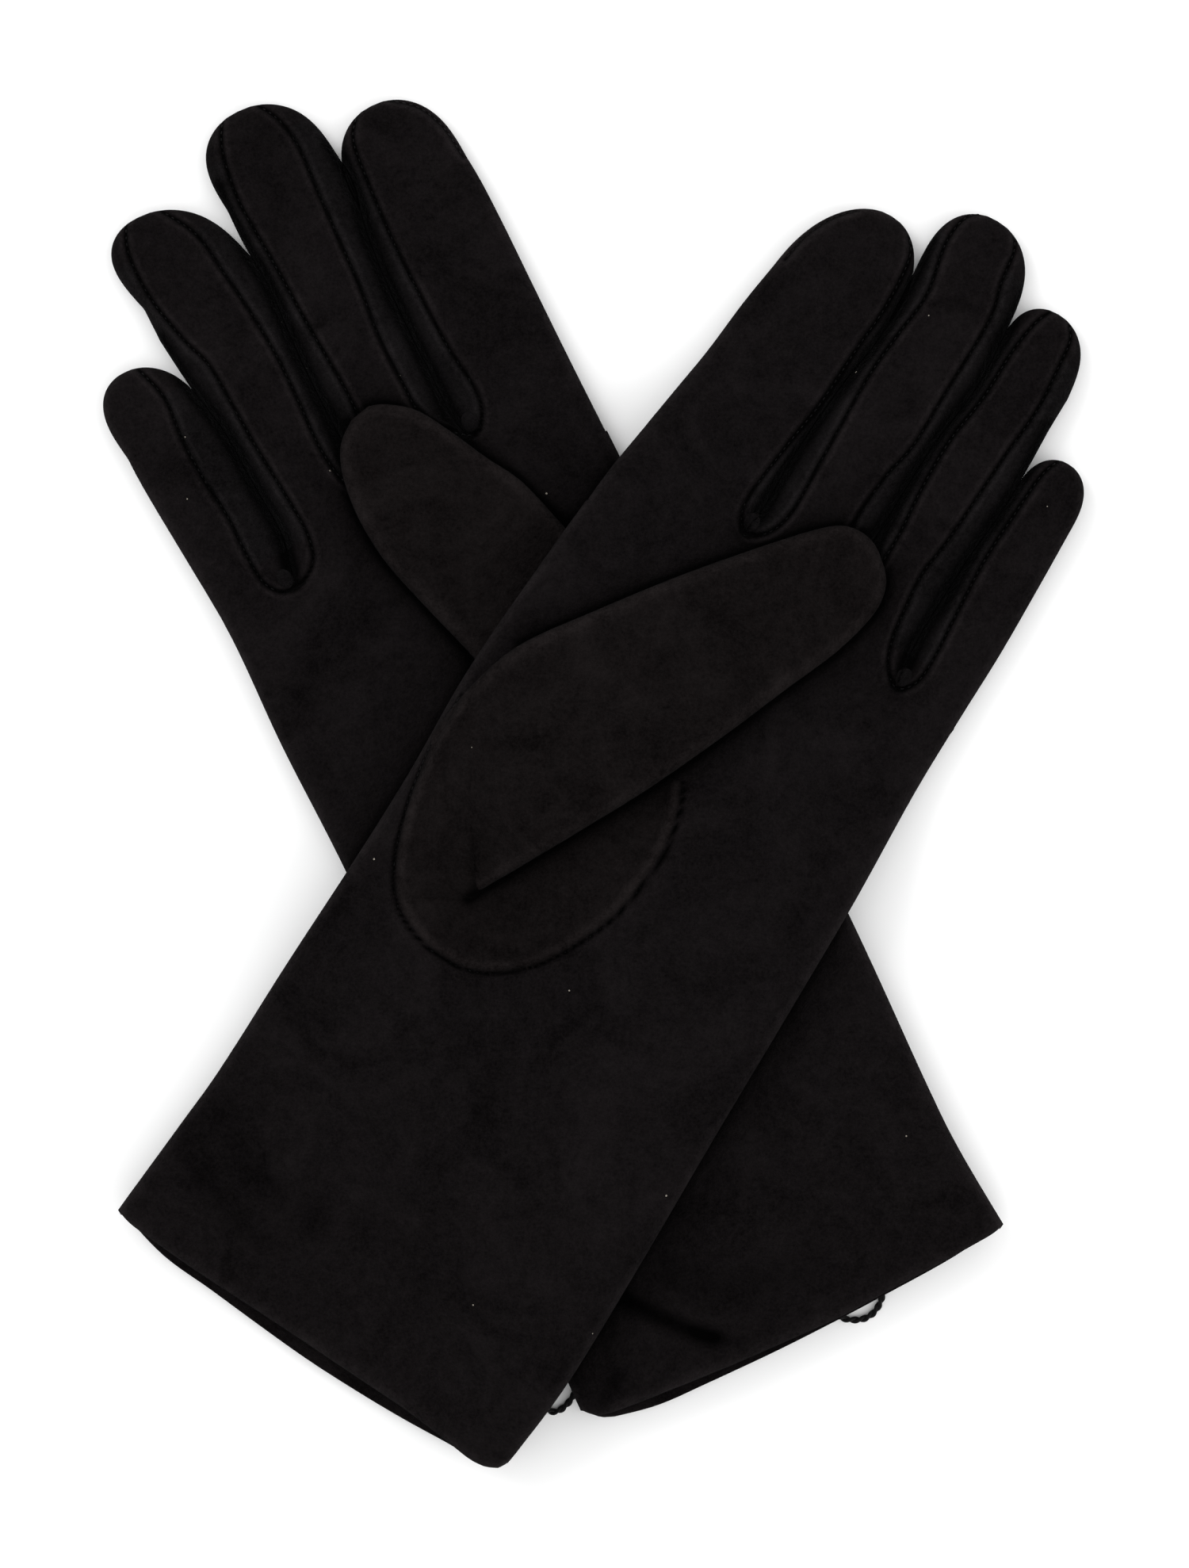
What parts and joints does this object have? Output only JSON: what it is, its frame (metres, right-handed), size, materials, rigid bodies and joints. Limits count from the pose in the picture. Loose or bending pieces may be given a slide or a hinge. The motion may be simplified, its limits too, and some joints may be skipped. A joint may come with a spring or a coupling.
{
  "type": "pair of suede gloves",
  "caption": "Black suede dress gloves laid crossed with palms up and thumbs folded over, with stitched finger side walls and a cord bow at each cuff",
  "frame": {"origin": "on the table under the middle of the crossed pair's own box, cords left out", "axes": "+X and +Y lie in the table; +Y runs up between the two hands' fingers and is the pair's longest side; +Z is up out of the palms"},
  "size_m": [0.2146, 0.3031, 0.0317],
  "materials": {
    "suede": "black suede, napped side out, very slightly warm",
    "suede_thumb": "black suede, napped side out",
    "suede_side": "black suede with a longer, fuzzier nap",
    "lining": "fine black knitted lining",
    "cord": "matt black two-ply twisted cord"
  },
  "bodies": {
    "right_palm": {"right_trank": "suede", "right_hem_facing": "suede", "right_hand_lining": "lining", "right_finger_roots": "suede", "right_quirks": "suede_side", "right_thumb_base": "suede_thumb", "right_bow_knot": "cord", "right_bow_loop_outer": "cord", "right_bow_loop_inner": "cord", "right_bow_tail_outer": "cord", "right_bow_tail_inner": "cord", "right_thumb": "suede_thumb", "right_thumb_lining": "lining"},
    "right_thumb_tip": {"right_thumb_tip": "suede_thumb"},
    "right_index": {"right_index_stall": "suede", "right_index_lining": "lining", "right_index_fourchette_pinky_side": "suede_side"},
    "right_middle": {"right_middle_stall": "suede", "right_middle_lining": "lining", "right_middle_fourchette_thumb_side": "suede_side", "right_middle_fourchette_pinky_side": "suede_side"},
    "right_ring": {"right_ring_stall": "suede", "right_ring_lining": "lining", "right_ring_fourchette_thumb_side": "suede_side", "right_ring_fourchette_pinky_side": "suede_side"},
    "right_pinky": {"right_pinky_stall": "suede", "right_pinky_lining": "lining", "right_pinky_fourchette_thumb_side": "suede_side"},
    "left_palm": {"left_trank": "suede", "left_hem_facing": "suede", "left_hand_lining": "lining", "left_finger_roots": "suede", "left_quirks": "suede_side", "left_thumb_base": "suede_thumb", "left_bow_knot": "cord", "left_bow_loop_outer": "cord", "left_bow_loop_inner": "cord", "left_bow_tail_outer": "cord", "left_bow_tail_inner": "cord"},
    "left_thumb": {"left_thumb": "suede_thumb", "left_thumb_lining": "lining"},
    "left_thumb_tip": {"left_thumb_tip": "suede_thumb"},
    "left_index": {"left_index_stall": "suede", "left_index_lining": "lining", "left_index_fourchette_pinky_side": "suede_side"},
    "left_middle": {"left_middle_stall": "suede", "left_middle_lining": "lining", "left_middle_fourchette_thumb_side": "suede_side", "left_middle_fourchette_pinky_side": "suede_side"},
    "left_ring": {"left_ring_stall": "suede", "left_ring_lining": "lining", "left_ring_fourchette_thumb_side": "suede_side", "left_ring_fourchette_pinky_side": "suede_side"},
    "left_pinky": {"left_pinky_stall": "suede", "left_pinky_lining": "lining", "left_pinky_fourchette_thumb_side": "suede_side"}
  },
  "joints": [
    {"name": "left_glove_lift", "type": "slide", "parent": "right_palm", "child": "left_palm", "axis": [0, 0, 1], "range_m": [0, 0.15]},
    {"name": "left_thumb_open", "type": "hinge", "parent": "left_palm", "child": "left_thumb", "pos_m": [-0.0272, -0.0023, 0.0251], "axis": [-0.0675, -0.9977, 0], "range_deg": [0, 90]},
    {"name": "left_thumb_tip_lift", "type": "hinge", "parent": "left_thumb", "child": "left_thumb_tip", "pos_m": [0.0308, 0.0303, 0.0314], "axis": [-0.1864, -0.9825, 0], "range_deg": [0, 45]},
    {"name": "right_thumb_tip_lift", "type": "hinge", "parent": "right_palm", "child": "right_thumb_tip", "pos_m": [-0.0267, 0.0525, 0.0147], "axis": [0.6078, 0.7941, 0], "range_deg": [0, 45]},
    {"name": "right_index_curl", "type": "hinge", "parent": "right_palm", "child": "right_index", "pos_m": [-0.0227, 0.0966, 0.0083], "axis": [0.893, 0.4501, 0], "range_deg": [0, 60]},
    {"name": "right_middle_curl", "type": "hinge", "parent": "right_palm", "child": "right_middle", "pos_m": [-0.0503, 0.0916, 0.0083], "axis": [0.893, 0.4501, 0], "range_deg": [0, 60]},
    {"name": "right_ring_curl", "type": "hinge", "parent": "right_palm", "child": "right_ring", "pos_m": [-0.0672, 0.0741, 0.0083], "axis": [0.893, 0.4501, 0], "range_deg": [0, 60]},
    {"name": "right_pinky_curl", "type": "hinge", "parent": "right_palm", "child": "right_pinky", "pos_m": [-0.0806, 0.0539, 0.0083], "axis": [0.893, 0.4501, 0], "range_deg": [0, 60]},
    {"name": "left_index_curl", "type": "hinge", "parent": "left_palm", "child": "left_index", "pos_m": [0.0324, 0.082, 0.0107], "axis": [0.8545, -0.5195, 0], "range_deg": [0, 60]},
    {"name": "left_middle_curl", "type": "hinge", "parent": "left_palm", "child": "left_middle", "pos_m": [0.0557, 0.0678, 0.0083], "axis": [0.8545, -0.5195, 0], "range_deg": [0, 60]},
    {"name": "left_ring_curl", "type": "hinge", "parent": "left_palm", "child": "left_ring", "pos_m": [0.0716, 0.0511, 0.0083], "axis": [0.8545, -0.5195, 0], "range_deg": [0, 60]},
    {"name": "left_pinky_curl", "type": "hinge", "parent": "left_palm", "child": "left_pinky", "pos_m": [0.0819, 0.0331, 0.0083], "axis": [0.8545, -0.5195, 0], "range_deg": [0, 60]}
  ]
}
